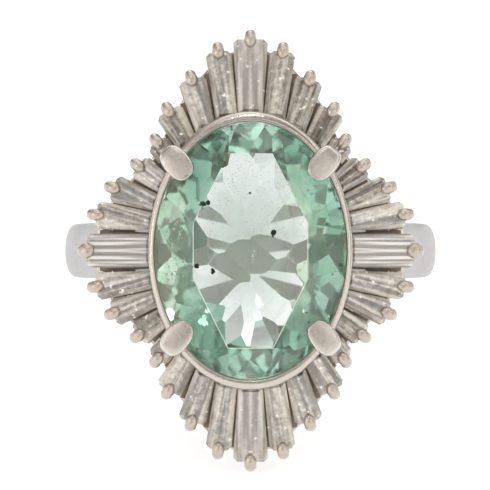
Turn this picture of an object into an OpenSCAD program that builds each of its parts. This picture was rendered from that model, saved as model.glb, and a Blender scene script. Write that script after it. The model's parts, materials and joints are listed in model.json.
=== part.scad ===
// Ballerina ring: a large oval stone in four claws, and a skirt of 32 tapered baguettes.
// Ring frame: X across the head, Y along the finger, Z out of the centre stone's table,
// with the origin at the middle of the centre stone's girdle. The last section lays the
// finished ring on its side, as it rests by itself.

/* [Band] */
// Radius of the finger hole
finger_r = 8.45; // [8.3:0.05:8.6]
// Thickness of the band
band_t = 1.3; // [1.1:0.1:1.5]
// Width of the band at the shoulders
shoulder_w = 2.9; // [2.6:0.1:3.1]
// Width of the band at its base
base_w = 2.3; // [2:0.1:2.6]

/* [Centre stone] */
// Half the width of the stone at its girdle
stone_a = 4.98; // [4.9:0.02:5]
// Half the length of the stone at its girdle
stone_b = 6.66; // [6.6:0.02:6.68]
// Height of the table above the girdle
crown_h = 1.4; // [1.2:0.05:1.5]
// Depth of the culet below the girdle
pavilion_h = 4.05; // [3.8:0.05:4.1]
// Half the width of the table
table_a = 2.95; // [2.8:0.05:3.1]
// Half the length of the table
table_b = 5.05; // [4.9:0.05:5.15]

/* [Rim] */
// Half the width of the polished rim, outside
rim_a = 5.35; // [5.3:0.01:5.4]
// Half the length of the polished rim, outside
rim_b = 7.27; // [7.2:0.01:7.35]
// Height of the rim above the girdle
rim_top = 0.34; // [0.25:0.01:0.4]

/* [Skirt of baguettes] */
// Slope of the baguettes, down and outward
skirt_slope = 18; // [14:1:20]
// Height of the baguettes' tables at the rim
skirt_z = -0.42; // [-0.5:0.01:-0.4]
// Width of the bevel round a baguette's table
bevel = 0.24; // [0.2:0.01:0.28]
// Cut across a baguette's outer corners
corner_cut = 0.16; // [0.1:0.01:0.2]

/* [Metalwork] */
// Radius of the bead that holds each baguette
bead_r = 0.31; // [0.25:0.01:0.33]
// Radius of the posts under the four claws
claw_r = 0.42; // [0.38:0.01:0.45]
// Clearance between a stone and its setting
seat_gap = 0.04; // [0.03:0.01:0.05]

/* [Hidden] */
// Columns of the skirt's table
BEAD_X = 0;
BEAD_Y = 1;
TURN = 2;
WIDE = 3;
NARROW = 4;
// A quarter of the skirt, from the top of the head round to its side: where the bead is,
// the inner end's turn round the rim in degrees, and the stone's width at each end
QUARTER = [
    [0.00, 11.00, 0, 1.84, 1.30],
    [1.68, 10.36, 14, 1.36, 1.14],
    [3.07, 8.91, 26.8, 1.50, 1.10],
    [4.27, 7.27, 39.2, 1.52, 1.12],
    [4.86, 5.64, 50.5, 1.24, 1.14],
    [5.83, 4.40, 61, 1.42, 1.00],
    [7.14, 3.26, 69.8, 1.48, 0.86],
    [8.02, 1.87, 77.6, 1.48, 0.92],
    [8.53, 0.00, 90, 1.78, 1.72]
];
CLAW_ROW = 4;
quarters = 4;
per_quarter = len(QUARTER) - 1;
baguettes = quarters * per_quarter;
// How far along the line from the rim to its bead a baguette starts
start_share = 0.025;
behind_claw_share = 0.28;

// Heights, from the girdle
girdle_half = 0.1;
culet_air = 0.75;
finger_z = -(pavilion_h + culet_air + finger_r);
frame_top = -2.85;
frame_bottom = -3.3;
rim_low = -0.32;
saddle_t = 0.85;

// Walls of the gallery
wall_out = 0.24;
wall_t = 0.34;
rim_soft = 0.1;
seat_air = 0.01;
frame_w = 0.7;
frame_out = 0.15;
fin_t = 0.34;
fin_down = 0.8;
saddle_a = 5.75;
saddle_b = 6.05;
saddle_w = 0.85;
strut_w = 0.8;
strut_len = 2.4;
strut_low = 1.3;
strut_sink = 0.2;
strut_angle = 45;

// Band: where its ends stop, the dome across it, and the shoulders that carry the head
band_end_x = 5.1;
dome_drop = 0.5;
dome_side = 0.95;
dome_mid = [0.28, 0.42];
dome_sink = 0.2;
taper_air = 0.03;
shoulder_top_x = 7.35;
shoulder_t = 1.35;
shoulder_angle = 66;
shoulder_in = 0.02;
shoulder_sink = 0.12;
shoulder_foot = [4.9, -6.8];

// Sides of the round shapes, and a length past everything
oval_sides = 72;
band_sides = 120;
bar_sides = 24;
far = 30;

// Bead prong, along the stone's outer end: its foot on the frame, its knee and its tip
bead_foot_in = 0.5;
bead_knee_out = 0.14;
bead_knee_down = 0.42;
bead_tip_in = 0.24;
bead_tip_up = 0.1;
bead_knee_extra = 0.02;
side_bead_r = 0.4;
stone_past_bead = 0.07;

// Claws: middle of a claw's pad, its half length and the height of its two ends
claw_x = 3.82;
claw_y = 4.55;
claw_half = 0.97;
claw_head_r = 0.5;
claw_head_side = 0.25;
claw_head_z = 0.34;
claw_tip_r = 0.2;
claw_tip_z = 0.82;
claw_post_in = 0.2;
claw_post_down = 3;
claw_sides = 16;

function baguette_name(i) = str("baguette_", i < 9 ? "0" : "", i + 1);

// A point of an oval, at a turn from +Y towards +X
function oval_point(a, b, turn) = [a * sin(turn), b * cos(turn)];
function oval_points(a, b) = [for (k = [0:oval_sides - 1]) oval_point(a, b, 360 * k / oval_sides)];
// How far an oval reaches in one direction
function oval_reach(a, b, azimuth) = sqrt(pow(a * cos(azimuth), 2) + pow(b * sin(azimuth), 2));

// A facet is [azimuth, tilt of its normal from +Z, distance from the origin]
function facet(azimuth, reach, z, tilt) = [azimuth, tilt, reach * sin(tilt) + z * cos(tilt)];

// One side of the stone: everything behind a facet
module behind(f, grow) {
    rotate([0, f[1], f[0]])
        translate([-far, -far, f[2] + grow - 2 * far])
            cube(2 * far);
}

module cut_stone(facets, grow = 0) {
    intersection_for (f = facets)
        behind(f, grow);
}

module oval_wall(outer, inner, z1, z2) {
    translate([0, 0, z1])
        linear_extrude(z2 - z1)
            difference() {
                polygon(oval_points(outer[0], outer[1]));
                polygon(oval_points(inner[0], inner[1]));
            }
}

// The centre stone: an oval mixed cut with an eight-sided table
table_side = 1.45;
table_end = 1.15;
slant = atan2(table_a - table_end, table_b - table_side);
half_tilt = 9;
half_out = 0.2;
pavilion_count = 16;
// Tiers of the pavilion from the girdle to the culet: where each ends, as a share of the way in
// from the girdle, and how steep it is beside the others. The stone is cut by hand, a little unevenly
TIER_END = 0;
TIER_STEEP = 1;
PAVILION = [[0.2, 1.26], [0.4, 1.11], [0.6, 0.98], [0.8, 0.88], [1, 0.77]];
uneven = 0.05;
// The culet is a short keel along the finger, off the middle of the stone
keel_half = 1.1;
keel_y = -0.4;

// Azimuth and table reach of the crown's main facets in the first quarter
function slant_reach() = table_a * cos(slant) + table_side * sin(slant);
function corner_reach(azimuth, x, y) = x * cos(azimuth) + y * sin(azimuth);
side_corner = slant / 2;
end_corner = (slant + 90) / 2;
CROWN_QUARTER = [
    [0, table_a],
    [side_corner, corner_reach(side_corner, table_a, table_side)],
    [slant, slant_reach()],
    [end_corner, corner_reach(end_corner, table_end, table_b)],
    [90, table_b]
];
function mirrored(quarter) = concat(
    [for (q = quarter) q],
    [for (q = quarter) if (q[0] != 90) [180 - q[0], q[1]]],
    [for (q = quarter) if (q[0] != 0) [180 + q[0], q[1]]],
    [for (q = quarter) if (q[0] != 0 && q[0] != 90) [-q[0], q[1]]]
);
function crown_tilt(azimuth, reach) =
    atan2(crown_h - girdle_half, oval_reach(stone_a, stone_b, azimuth) - reach);

crown_mains = [
    for (q = mirrored(CROWN_QUARTER))
        facet(q[0], q[1], crown_h, crown_tilt(q[0], q[1]))
];
half_azimuths = [for (k = [0:len(CROWN_QUARTER) - 2]) (CROWN_QUARTER[k][0] + CROWN_QUARTER[k + 1][0]) / 2];
function half_facet(azimuth, own) = facet(azimuth, oval_reach(stone_a, stone_b, own), girdle_half,
    crown_tilt(own, oval_reach(table_a + half_out, table_b, own)) + half_tilt);
crown_halves = [for (h = half_azimuths, s = [h, 180 - h, 180 + h, -h]) half_facet(s, h)];
function tier_in(t) = t == 0 ? 0 : PAVILION[t - 1][TIER_END];
function tier_down(t) = t == 0 ? 0
    : tier_down(t - 1) + (tier_in(t) - tier_in(t - 1)) * PAVILION[t - 1][TIER_STEEP];
function tier_z(t) = -girdle_half - (pavilion_h - girdle_half) * tier_down(t) / tier_down(len(PAVILION));
function by_hand(k, t) = 1 + uneven * sin(137 * k + 71 * t);
function pavilion_reach(azimuth, inward) = keel_y * inward * sin(azimuth)
    + oval_reach(stone_a * (1 - inward), stone_b * (1 - inward) + keel_half * inward, azimuth);
function pavilion_facet(k, t) =
    let (
        turn = (k + (t % 2) / 2) * 360 / pavilion_count,
        azimuth = atan2(stone_a * sin(turn), stone_b * cos(turn)),
        reach = pavilion_reach(azimuth, tier_in(t)),
        drop = (tier_z(t) - tier_z(t + 1)) * by_hand(k, t)
    )
    facet(azimuth, reach, tier_z(t), atan2(drop, pavilion_reach(azimuth, tier_in(t + 1)) - reach));
pavilion = [for (t = [0:len(PAVILION) - 1], k = [0:pavilion_count - 1]) pavilion_facet(k, t)];
centre_facets = concat([[0, 0, crown_h]], crown_mains, crown_halves, pavilion);

module centre_cut(grow = 0) {
    intersection() {
        cut_stone(centre_facets, grow);
        translate([0, 0, -far / 2])
            linear_extrude(far)
                polygon(oval_points(stone_a + grow, stone_b + grow));
    }
}

module centre_stone() {
    color([0.6, 0.8, 0.71, 0.7])
        centre_cut();
}

// The baguettes. Their own frame starts at the inner end on the table, with X outward.
function row_of(i) =
    let (k = i % per_quarter)
    QUARTER[floor(i / per_quarter) % 2 == 0 ? k : per_quarter - k];
function side_x(i) = i <= baguettes / 2 ? 1 : -1;
function side_y(i) = i <= baguettes / 4 || i >= baguettes * 3 / 4 ? 1 : -1;
function mirror_to(i, p) = [side_x(i) * p.x, side_y(i) * p.y];
function bead_at(i) = mirror_to(i, [row_of(i)[BEAD_X], row_of(i)[BEAD_Y]]);
function rim_at(i, inward) = mirror_to(i, oval_point(rim_a - inward, rim_b - inward, row_of(i)[TURN]));

// Baguettes beside a claw start outside its post
claw_angle = atan2(claw_y, claw_x);
claw_out = norm([claw_x, claw_y]);
post_out = claw_out - claw_post_in;
function behind_claw(i) = row_of(i)[TURN] == QUARTER[CLAW_ROW][TURN];
function plan_start(i) = behind_claw(i)
    ? rim_at(i, 0) + (bead_at(i) - rim_at(i, 0)) * behind_claw_share
    : rim_at(i, wall_out) + (bead_at(i) - rim_at(i, wall_out)) * start_share;
function plan_run(i) = bead_at(i) - plan_start(i);
function azimuth_of(i) = atan2(plan_run(i).y, plan_run(i).x);
function length_of(i) = (norm(plan_run(i)) + stone_past_bead) / cos(skirt_slope);
function start_z(i) = skirt_z - norm(plan_start(i) - rim_at(i, wall_out)) * tan(skirt_slope);

// Outline of a baguette: the direction and reach of each of its sides
function outline(i) =
    let (
        wide = row_of(i)[WIDE] / 2,
        narrow = row_of(i)[NARROW] / 2,
        long = length_of(i),
        taper = atan2(wide - narrow, long),
        corner = 45 + taper / 2
    )
    [
        [0, long],
        [180, 0],
        [90 + taper, narrow * cos(taper)],
        [-90 - taper, narrow * cos(taper)],
        [corner, long * cos(corner) + wide * sin(corner) - corner_cut],
        [-corner, long * cos(corner) + wide * sin(corner) - corner_cut]
    ];

// Tiers of a baguette's facets: how far inside the outline, how deep, and the normal's tilt
TIERS = [
    [bevel, 0, 42],
    [0, 0, 90],
    [0, -0.28, 118],
    [0.18, -0.62, 133],
    [0.44, -0.9, 148]
];
function baguette_facets(i) = concat(
    [[0, 0, 0]],
    [for (s = outline(i), t = TIERS) facet(s[0], s[1] - t[0], t[1], t[2])]
);

module at_baguette(i) {
    translate([plan_start(i).x, plan_start(i).y, start_z(i)])
        rotate([0, skirt_slope, azimuth_of(i)])
            children();
}

module baguette(i, grow = 0) {
    color([0.86, 0.84, 0.8, 0.8])
        at_baguette(i)
            cut_stone(baguette_facets(i), grow);
}

// Bead prong: a round bar up from the frame round the stone's outer end, and in over its table
function along(i, past_end) =
    bead_at(i) + (stone_past_bead + past_end) * [cos(azimuth_of(i)), sin(azimuth_of(i))];
function table_z(i, p) = start_z(i) - norm(p - plan_start(i)) * tan(skirt_slope);
function raised(p, z) = [p.x, p.y, z];
function bead_foot(i) = raised(along(i, -bead_foot_in), frame_bottom + bead_r);
function bead_knee(i) =
    let (p = along(i, bead_knee_out))
    raised(p, table_z(i, p) - bead_knee_down);
function bead_tip(i) =
    let (p = along(i, -bead_tip_in))
    raised(p, table_z(i, p) + bead_tip_up);
bead_steps = 5;

// A round bar from one point to another, with a domed far end
module bar(from, to, r) {
    lean = to - from;
    shaft = norm(lean);
    dome = [for (k = [0:bead_steps]) [r * cos(90 * k / bead_steps), shaft + r * sin(90 * k / bead_steps)]];
    translate(from)
        rotate([0, acos(lean.z / shaft), atan2(lean.y, lean.x)])
            rotate_extrude($fn = bar_sides)
                polygon(concat([[0, 0], [r, 0]], dome));
}

module bead_prong(i) {
    r = i % (baguettes / 2) == baguettes / 4 ? side_bead_r : bead_r;
    bar(bead_foot(i), bead_knee(i), bead_r);
    translate(bead_knee(i))
        sphere(r = r + bead_knee_extra, $fn = bar_sides);
    bar(bead_knee(i), bead_tip(i), r);
}

// A thin upright wall under each slot between two baguettes, from the oval wall to the frame
function neighbour(i) = (i + 1) % baguettes;
function wall_middle(i) = rim_at(i, wall_out + wall_t / 2);
module fin(i) {
    start = (wall_middle(i) + wall_middle(neighbour(i))) / 2;
    end = (along(i, -bead_foot_in) + along(neighbour(i), -bead_foot_in)) / 2;
    run = norm(end - start);
    top = skirt_z - fin_down;
    end_top = top - run * tan(skirt_slope);
    translate([start.x, start.y, 0])
        rotate([90, 0, atan2(end.y - start.y, end.x - start.x)])
            linear_extrude(fin_t, center = true)
                polygon([[0, frame_bottom], [run, frame_bottom], [run, end_top], [0, top]]);
}

// The skirt's frame: a flat band under the stones' outer ends, joining the feet of the prongs
module skirt_frame() {
    translate([0, 0, frame_bottom])
        linear_extrude(frame_top - frame_bottom)
            difference() {
                polygon([for (i = [0:baguettes - 1]) along(i, frame_out - bead_foot_in)]);
                polygon([for (i = [0:baguettes - 1]) along(i, frame_out - bead_foot_in - frame_w)]);
            }
}

// The polished rim and the oval wall under it
module rim() {
    outside = [rim_a, rim_b];
    inside = [stone_a, stone_b] + [1, 1] * (seat_gap + seat_air);
    soft = [1, 1] * rim_soft;
    under = outside - [1, 1] * wall_out;
    oval_wall(outside, inside, rim_low, rim_top - rim_soft);
    oval_wall(outside - soft, inside + soft / 2, rim_top - rim_soft, rim_top);
    oval_wall(under, under - [1, 1] * wall_t, frame_bottom, rim_low);
}

// A claw: a post beside the rim, and a rounded pad that bends in over the crown
module claw(turn) {
    rotate([0, 0, turn]) {
        translate([post_out, 0, frame_bottom - claw_post_down])
            cylinder(r = claw_r, h = claw_head_z - frame_bottom + claw_post_down, $fn = bar_sides);
        hull() {
            for (side = [-1, 1])
                translate([claw_out + claw_half - claw_head_r, side * claw_head_side, claw_head_z])
                    sphere(r = claw_head_r, $fn = claw_sides);
            translate([claw_out - claw_half + claw_tip_r, 0, claw_tip_z])
                sphere(r = claw_tip_r, $fn = claw_sides);
        }
    }
}

// The saddle: an oval frame shaped to the top of the finger
module saddle() {
    intersection() {
        translate([0, 0, finger_z])
            rotate([90, 0, 0])
                cylinder(r = finger_r + saddle_t, h = far, center = true, $fn = band_sides);
        oval_wall([saddle_a, saddle_b] + [1, 1] * saddle_w / 2,
            [saddle_a, saddle_b] - [1, 1] * saddle_w / 2, finger_z, 0);
    }
}

// Struts from the saddle out to the skirt's frame, at the two ends of the head
module strut(side) {
    mirror([0, side < 0 ? 1 : 0, 0])
        translate([0, saddle_b, frame_bottom - strut_low])
            rotate([strut_angle - 90, 0, 0])
                translate([-strut_w / 2, -strut_w / 2, -strut_sink])
                    cube([strut_w, strut_w, strut_len]);
}

// The band: a domed hoop, narrower at its base, with its open ends rising to the skirt's frame
band_r = finger_r + band_t;
dome = [
    [finger_r - dome_sink, shoulder_w / 2],
    [band_r - dome_drop, shoulder_w / 2],
    [band_r - dome_drop * dome_mid[0], shoulder_w / 2 - dome_side * dome_mid[1]],
    [band_r, shoulder_w / 2 - dome_side]
];
module hoop() {
    translate([0, 0, finger_z])
        rotate([90, 0, 0])
            rotate_extrude($fn = band_sides)
                polygon(concat(dome, [for (k = [len(dome) - 1:-1:0]) [dome[k].x, -dome[k].y]]));
}

module band_taper() {
    rotate([90, 0, 90])
        linear_extrude(2 * far, center = true)
            polygon([
                [-shoulder_w / 2 - 1, 0], [shoulder_w / 2 + 1, 0],
                [shoulder_w / 2 + taper_air, finger_z + band_r / 2], [base_w / 2, finger_z - band_r],
                [-base_w / 2, finger_z - band_r], [-shoulder_w / 2 - taper_air, finger_z + band_r / 2]
            ]);
}

module band() {
    intersection() {
        union() {
            difference() {
                hoop();
                translate([-band_end_x, -far / 2, finger_z])
                    cube([2 * band_end_x, far, far]);
            }
            for (side = [-1, 1])
                shoulder(side);
        }
        band_taper();
    }
}

shoulder_low = (band_r - shoulder_sink) * [sin(shoulder_angle), cos(shoulder_angle)] + [0, finger_z];
module shoulder(side) {
    mirror([side < 0 ? 1 : 0, 0, 0])
        rotate([90, 0, 0])
            linear_extrude(shoulder_w - 2 * shoulder_in, center = true)
                polygon([
                    [shoulder_top_x - shoulder_t, frame_top - shoulder_sink],
                    [shoulder_top_x, frame_top - shoulder_sink],
                    shoulder_low,
                    shoulder_foot
                ]);
}

module finger_hole() {
    translate([0, 0, finger_z])
        rotate([90, 0, 0])
            cylinder(r = finger_r, h = 2 * far, center = true, $fn = band_sides);
}

module mount() {
    color([0.82, 0.79, 0.77])
        difference() {
            union() {
                band();
                saddle();
                rim();
                skirt_frame();
                for (turn = [claw_angle, 180 - claw_angle, 180 + claw_angle, -claw_angle])
                    claw(turn);
                for (side = [-1, 1])
                    strut(side);
                for (i = [0:baguettes - 1]) {
                    bead_prong(i);
                    fin(i);
                }
            }
            centre_cut(seat_gap);
            for (i = [0:baguettes - 1])
                baguette(i, seat_gap);
            finger_hole();
        }
}

// How the ring lies by itself: on the knee of the lowest bead prong and on the edge of the
// band's base, so the table looks up from the level by the lean
low = baguettes / 2;
knee_r = bead_r + bead_knee_extra;
low_knee = [bead_knee(low).y, bead_knee(low).z];
side_cut = (shoulder_w - base_w) / 2;
edge_slope = dome_drop * (1 - dome_mid[0]) / (dome_side * dome_mid[1]);
base_edge = [-base_w / 2, finger_z - band_r + dome_drop - side_cut * edge_slope];
edge_way = base_edge - low_knee;
rest_lean = 180 + atan2(edge_way.y, edge_way.x) - acos(knee_r / norm(edge_way));
function level(p) = p.x * sin(rest_lean) - p.y * cos(rest_lean);
rest_height = -base_edge.x * cos(rest_lean) - base_edge.y * sin(rest_lean);
rest_front = level([bead_tip(low).y, bead_tip(low).z]) - bead_r;
rest_back = level([-base_edge.x, base_edge.y]);

module at_rest() {
    translate([0, -(rest_front + rest_back) / 2, rest_height])
        rotate([90 - rest_lean, 0, 0])
            children();
}

at_rest() {
    mount();
    centre_stone();
    for (i = [0:baguettes - 1])
        baguette(i);
}
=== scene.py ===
"""A ballerina ring: its metal, its stones, the floor that it lies on, its light and the camera.

The pieces are worked out in the ring's own frame, in millimetres: X across the head, Y along the
finger, Z out of the centre stone's table, with the origin at the middle of the stone's girdle.
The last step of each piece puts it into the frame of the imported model, in metres.
"""

import json
import math
import random
from collections import namedtuple

import bmesh
import bpy
from mathutils import Matrix, Vector


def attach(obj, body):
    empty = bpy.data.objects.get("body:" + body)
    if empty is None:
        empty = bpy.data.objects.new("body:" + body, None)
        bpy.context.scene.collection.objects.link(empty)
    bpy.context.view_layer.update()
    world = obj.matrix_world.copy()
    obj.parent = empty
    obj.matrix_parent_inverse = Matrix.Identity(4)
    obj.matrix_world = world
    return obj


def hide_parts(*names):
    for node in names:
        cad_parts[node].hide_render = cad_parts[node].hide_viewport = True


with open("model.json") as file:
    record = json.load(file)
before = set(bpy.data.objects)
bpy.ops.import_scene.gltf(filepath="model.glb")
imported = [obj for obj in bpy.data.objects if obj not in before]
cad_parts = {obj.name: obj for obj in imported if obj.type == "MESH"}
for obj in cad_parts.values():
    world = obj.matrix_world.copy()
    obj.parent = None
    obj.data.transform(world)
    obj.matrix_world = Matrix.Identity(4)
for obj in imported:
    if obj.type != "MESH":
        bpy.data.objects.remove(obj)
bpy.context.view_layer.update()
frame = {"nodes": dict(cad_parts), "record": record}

# Band, in millimetres as all sizes here
FINGER_R = 8.45
BAND_T = 1.3
SHOULDER_W = 2.9
BASE_W = 2.3
FINGER_Z = -13.25

# Centre stone, its rim and the oval wall under it
STONE_A, STONE_B = 4.98, 6.66
CROWN_H = 1.4
MILKY_A, MILKY_B = 2.9, 4.3
RIM_A, RIM_B = 5.35, 7.27
RIM_LOW = -0.32
SEAT_GAP = 0.05
WALL_OUT = 0.24
WALL_T = 0.34

# Skirt of baguettes. A quarter of it from the head's far end round to its side: the place of each bead,
# and the turn at which its baguette's line meets the oval
SKIRT_SLOPE = math.radians(18)
SKIRT_Z = -0.42
STONE_PAST_BEAD = 0.07
START_SHARE = 0.025
BEHIND_CLAW_SHARE = 0.28
Row = namedtuple("Row", "bead_x bead_y turn")
QUARTER = [
    Row(0.00, 11.00, 0),
    Row(1.68, 10.36, 14),
    Row(3.07, 8.91, 26.8),
    Row(4.27, 7.27, 39.2),
    Row(4.86, 5.64, 50.5),
    Row(5.83, 4.40, 61),
    Row(7.14, 3.26, 69.8),
    Row(8.02, 1.87, 77.6),
    Row(8.53, 0.00, 90),
]
CLAW_ROW = 4
PER_QUARTER = len(QUARTER) - 1
BAGUETTES = 4 * PER_QUARTER

# Gallery behind the stones
FRAME_TOP = -2.85
FRAME_BOTTOM = -3.3
FRAME_W = 0.7
FRAME_OUT = 0.15
FIN_T = 0.34
FIN_DOWN = 0.8
SADDLE_A, SADDLE_B = 5.75, 6.05
SADDLE_W = 0.85
SADDLE_T = 0.85
STRUT_W = 0.8
STRUT_LEN = 2.2
STRUT_LEAN = math.radians(45)
STRUT_LOW = 1.3
SHOULDER_TOP_X = 7.35
SHOULDER_T = 1.35
SHOULDER_TOP_Z = FRAME_TOP - 0.1
SHOULDER_ANGLE = 66
SHOULDER_FOOT_ANGLE = 36
SHOULDER_FOOT_SHARE = 0.25
SHOULDER_STEPS = 12
ARC_STEPS = 36
TAPER_POWER = 0.8

# Bead prongs: an upright wire with a bend at its knee, and the lumpy head pressed over the stone
BEAD_R = 0.31
SIDE_BEAD_R = 0.4
FOOT_IN = 0.5
KNEE_OUT = 0.14
KNEE_DOWN = 0.42
KNEE_BEND = 0.22
WIRE_TOP_DOWN = 0.1
TIP_IN = 0.24
BEAD_MIDDLE_UP = 0.04
BEAD_HALF_HEIGHT = 0.3
BEAD_END_SHARE = 0.82
BEAD_BASE_SIZE = 0.94
BEAD_LUMPS = 5
LUMP_RISE = 0.1
LUMP_REACH = 0.6
BEAD_SQUARE = 0.1

# Claws: a post that leans out to a pad over the stone's edge
CLAW_X, CLAW_Y = 3.82, 4.55
CLAW_POST_R = 0.42
CLAW_POST_IN = 0.2
CLAW_POST_LOW = -6.0
CLAW_TOP_OUT = 0.3
CLAW_TOP_Z = 0.2
CLAW_BEND = 0.3

# Camera: a pixel of the picture on the head, and where the head's middle lies in the picture
PIXEL = 0.052
PICTURE = 490
HEAD_PX = (250.5, 250.6)
CAMERA_AWAY = 1100
SENSOR = 36


# Places

bore = frame["record"]["mounts"][0]
finger_axis = Vector(bore["axis"]).normalized()
head_across = Vector((1, 0, 0))
table_normal = head_across.cross(finger_axis)
ring_turn = Matrix((head_across, finger_axis, table_normal)).transposed().to_4x4()
girdle_middle = Vector(bore["pos_m"]) - table_normal * FINGER_Z / 1000
RING = Matrix.Translation(girdle_middle) @ ring_turn @ Matrix.Scale(0.001, 4)


def oval(a, b, turn):
    """A point of an oval, at a turn in degrees from +Y towards +X."""
    return Vector((a * math.sin(math.radians(turn)), b * math.cos(math.radians(turn))))


def row_of(i):
    """The quarter's row for baguette i. They run clockwise from the far end."""
    k = i % PER_QUARTER
    return QUARTER[k if (i // PER_QUARTER) % 2 == 0 else PER_QUARTER - k]


def quarter_signs(i):
    """The side and the end of the head that baguette i lies at, as signs of X and Y."""
    side = 1 if i <= BAGUETTES // 2 else -1
    end = 1 if i <= BAGUETTES // 4 or i >= BAGUETTES * 3 // 4 else -1
    return Vector((side, end))


Seat = namedtuple("Seat", "bead start way start_z side_bead")


def seat_of(i):
    """Where baguette i lies: its bead, its inner end, its way outward and its table's height there."""
    row = row_of(i)
    signs = quarter_signs(i)
    bead = Vector((row.bead_x, row.bead_y)) * signs
    wall = oval(RIM_A - WALL_OUT, RIM_B - WALL_OUT, row.turn) * signs
    edge = oval(RIM_A, RIM_B, row.turn) * signs
    if row is QUARTER[CLAW_ROW]:
        start = edge.lerp(bead, BEHIND_CLAW_SHARE)
    else:
        start = wall.lerp(bead, START_SHARE)
    start_z = SKIRT_Z - (start - wall).length * math.tan(SKIRT_SLOPE)
    way = (bead - start) / (bead - start).length
    return Seat(bead, start, way, start_z, i % (BAGUETTES // 2) == BAGUETTES // 4)


SEATS = [seat_of(i) for i in range(BAGUETTES)]


def out_of(seat, past_end):
    """A point in plan on a baguette's line, past its outer end."""
    return seat.bead + (STONE_PAST_BEAD + past_end) * seat.way


def table_z(seat, point):
    """The height of a baguette's table at a point in plan."""
    return seat.start_z - (point - seat.start).length * math.tan(SKIRT_SLOPE)


def raised(point, z):
    return Vector((point.x, point.y, z))


# Tools for meshes and nodes

def linear(hex_colour, alpha=1.0):
    """An sRGB hex colour as linear values."""
    parts = [int(hex_colour[k:k + 2], 16) / 255 for k in (1, 3, 5)]
    return [p / 12.92 if p <= 0.04045 else ((p + 0.055) / 1.055) ** 2.4 for p in parts] + [alpha]


def add(tree, kind, inputs=None, **settings):
    """Add a node: the settings are its own, and an input takes a value or the socket that feeds it."""
    made = tree.nodes.new(kind)
    for key, value in settings.items():
        setattr(made, key, value)
    for key, value in (inputs or {}).items():
        if isinstance(value, bpy.types.NodeSocket):
            tree.links.new(value, made.inputs[key])
        else:
            made.inputs[key].default_value = value
    return made


def finished(mesh, name, material=None, sharp=35):
    """Put a mesh from the ring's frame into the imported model's, as a piece of the ring."""
    mesh.transform(RING)
    mesh.name = name
    if material:
        mesh.materials.clear()
        mesh.materials.append(material)
    mesh.polygons.foreach_set("use_smooth", [True] * len(mesh.polygons))
    mesh.set_sharp_from_angle(angle=math.radians(sharp))
    piece = bpy.data.objects.new(name, mesh)
    bpy.context.scene.collection.objects.link(piece)
    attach(piece, "root")
    return piece


def evaluated(base):
    """The plain mesh of an object with its modifiers applied. The object is removed."""
    bpy.context.view_layer.update()
    graph = bpy.context.evaluated_depsgraph_get()
    mesh = bpy.data.meshes.new_from_object(base.evaluated_get(graph))
    bpy.data.objects.remove(base)
    return mesh


def base_object(points, edges=(), faces=()):
    mesh = bpy.data.meshes.new("base")
    mesh.from_pydata([tuple(p) for p in points], list(edges), list(faces))
    mesh.update()
    made = bpy.data.objects.new("base", mesh)
    bpy.context.scene.collection.objects.link(made)
    return made


def loft(rings, closed=False):
    """Points and faces of a skin through rings of points, with flat ends or closed on itself."""
    count = len(rings[0])
    points = [p for ring in rings for p in ring]
    spans = len(rings) if closed else len(rings) - 1
    faces = []
    for r in range(spans):
        here, there = r * count, (r + 1) % len(rings) * count
        for k in range(count):
            nxt = (k + 1) % count
            faces.append((here + k, here + nxt, there + nxt, there + k))
    if not closed:
        faces.append(tuple(reversed(range(count))))
        faces.append(tuple(len(points) - count + k for k in range(count)))
    return points, faces


def outward(base):
    """Turn all faces of a closed mesh to point outward."""
    work = bmesh.new()
    work.from_mesh(base.data)
    bmesh.ops.remove_doubles(work, verts=work.verts, dist=1e-5)
    bmesh.ops.recalc_face_normals(work, faces=work.faces)
    work.to_mesh(base.data)
    work.free()


def softened(points_faces, bevel=0.0, levels=0):
    """A base object with rounded edges or a subdivided surface."""
    base = base_object(points_faces[0], faces=points_faces[1])
    outward(base)
    if bevel:
        edge = base.modifiers.new("edge", "BEVEL")
        edge.width = bevel
        edge.segments = 2
        edge.limit_method = "ANGLE"
        edge.angle_limit = math.radians(30)
    if levels:
        surface = base.modifiers.new("surface", "SUBSURF")
        surface.levels = levels
        surface.render_levels = levels
    return base


def joined(parts):
    """Points and faces of several lofts as one."""
    points, faces = [], []
    for some_points, some_faces in parts:
        start = len(points)
        points += some_points
        faces += [tuple(start + k for k in face) for face in some_faces]
    return points, faces


# Materials

def new_material(name):
    """An empty material and its tree."""
    material = bpy.data.materials.new(name)
    material.use_nodes = True
    material.node_tree.nodes.clear()
    return material, material.node_tree


def ring_mm(tree):
    """The piece's own coordinates, turned into the ring's frame in millimetres."""
    place = add(tree, "ShaderNodeTexCoord")
    turned = add(tree, "ShaderNodeMapping", {
        "Vector": place.outputs["Object"], "Location": RING.translation,
        "Rotation": ring_turn.to_euler(), "Scale": (0.001, 0.001, 0.001)}, vector_type="TEXTURE")
    return turned.outputs[0]


def spread(tree, value, start, end, low=0.0, high=1.0):
    """A value between start and end as a value between low and high."""
    return add(tree, "ShaderNodeMapRange", {
        "Value": value, "From Min": start, "From Max": end, "To Min": low, "To Max": high}).outputs[0]


def calculated(tree, operation, first, second=0.0):
    """The result of a sum on one or two values."""
    return add(tree, "ShaderNodeMath", {0: first, 1: second}, operation=operation).outputs[0]


def mixed(tree, share, first, second):
    """A colour between two others."""
    return add(tree, "ShaderNodeMix", {0: share, 6: first, 7: second}, data_type="RGBA").outputs[2]


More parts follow.
